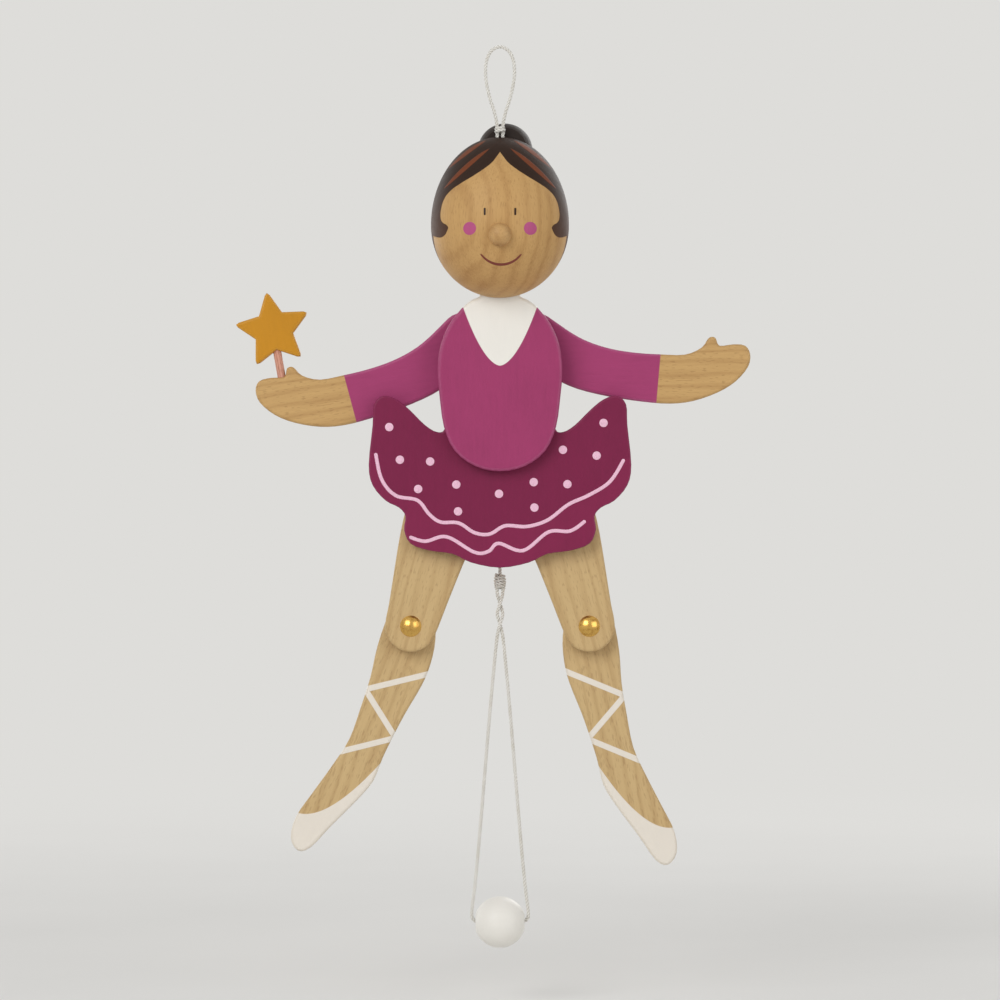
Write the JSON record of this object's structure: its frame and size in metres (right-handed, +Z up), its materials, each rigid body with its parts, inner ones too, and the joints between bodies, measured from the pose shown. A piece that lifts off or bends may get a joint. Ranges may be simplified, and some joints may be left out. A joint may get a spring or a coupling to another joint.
{
  "type": "pull string jumping jack",
  "caption": "Flat wooden ballerina jumping jack: pulling the bead on its cord swings the riveted arms and legs outward; hangs from a cord loop.",
  "frame": {"origin": "inner top of the hanging loop, where a nail or hook carries the toy", "axes": "+Z up along the standing figure, +Y towards the wall behind it, so the painted front faces -Y, and +X to the viewer's right"},
  "size_m": [0.1504, 0.0421, 0.2625],
  "materials": {
    "head_wood": "turned light wood, clear satin lacquer, painted hair and face",
    "nose_wood": "turned light wood, clear satin lacquer",
    "hair_paint": "turned wood, dark brown satin paint",
    "pink_paint": "plywood, orchid pink satin paint",
    "magenta_paint": "plywood, dark magenta satin paint",
    "limb_wood": "natural plywood, clear satin lacquer",
    "stick_wood": "stained dowel",
    "star_paint": "plywood, golden yellow satin paint",
    "bead_wood": "turned bead, white lacquer",
    "rivet_brass": "polished brass",
    "washer_nylon": "natural nylon",
    "cotton_cord": "white twisted cotton"
  },
  "bodies": {
    "figure": {"head": "head_wood", "nose": "nose_wood", "bun": "hair_paint", "torso_plate": "pink_paint", "tutu_plate": "magenta_paint", "left_shoulder_rivet": "rivet_brass", "right_shoulder_rivet": "rivet_brass", "left_hip_rivet": "rivet_brass", "right_hip_rivet": "rivet_brass", "spacer_washers": "washer_nylon", "back_washers": "washer_nylon", "hanging_loop": "cotton_cord", "hanging_knot": "cotton_cord"},
    "pull": {"arm_cord": "cotton_cord", "leg_cord": "cotton_cord", "arm_stop_knots": "cotton_cord", "leg_stop_knots": "cotton_cord", "arm_tie_knot": "cotton_cord", "leg_tie_knot": "cotton_cord", "pull_cord": "cotton_cord", "pull_knot": "cotton_cord", "pull_loop": "cotton_cord", "bead": "bead_wood"},
    "left_arm": {"left_arm": "pink_paint", "wand_stick": "stick_wood", "wand_star": "star_paint"},
    "right_arm": {"right_arm": "pink_paint"},
    "left_thigh": {"left_thigh": "limb_wood", "left_knee_rivet": "rivet_brass", "left_knee_washers": "washer_nylon"},
    "right_thigh": {"right_thigh": "limb_wood", "right_knee_rivet": "rivet_brass", "right_knee_washers": "washer_nylon"},
    "left_shin": {"left_shin": "limb_wood"},
    "right_shin": {"right_shin": "limb_wood"}
  },
  "joints": [
    {"name": "pull_string", "type": "slide", "parent": "figure", "child": "pull", "axis": [0, 0, -1], "range_m": [0, 0.007]},
    {"name": "left_shoulder", "type": "hinge", "parent": "figure", "child": "left_arm", "pos_m": [-0.0115, 0.0133, -0.0835], "axis": [0, 1, 0], "range_deg": [0, 60]},
    {"name": "right_shoulder", "type": "hinge", "parent": "figure", "child": "right_arm", "pos_m": [0.0115, 0.0133, -0.0835], "axis": [0, -1, 0], "range_deg": [0, 60]},
    {"name": "left_hip", "type": "hinge", "parent": "figure", "child": "left_thigh", "pos_m": [-0.011, 0.0133, -0.113], "axis": [0, 1, 0], "range_deg": [0, 60]},
    {"name": "right_hip", "type": "hinge", "parent": "figure", "child": "right_thigh", "pos_m": [0.011, 0.0133, -0.113], "axis": [0, -1, 0], "range_deg": [0, 60]},
    {"name": "left_knee", "type": "hinge", "parent": "left_thigh", "child": "left_shin", "pos_m": [-0.02607, 0.018, -0.16735], "axis": [0, 1, 0], "range_deg": [-25, 90]},
    {"name": "right_knee", "type": "hinge", "parent": "right_thigh", "child": "right_shin", "pos_m": [0.02607, 0.018, -0.16735], "axis": [0, -1, 0], "range_deg": [-16, 90]}
  ],
  "couplings": [
    {"joint": "left_shoulder", "follows": "pull_string", "rad_per_m": 149.59},
    {"joint": "right_shoulder", "follows": "pull_string", "rad_per_m": 149.59},
    {"joint": "left_hip", "follows": "pull_string", "rad_per_m": 149.59},
    {"joint": "right_hip", "follows": "pull_string", "rad_per_m": 149.59}
  ]
}
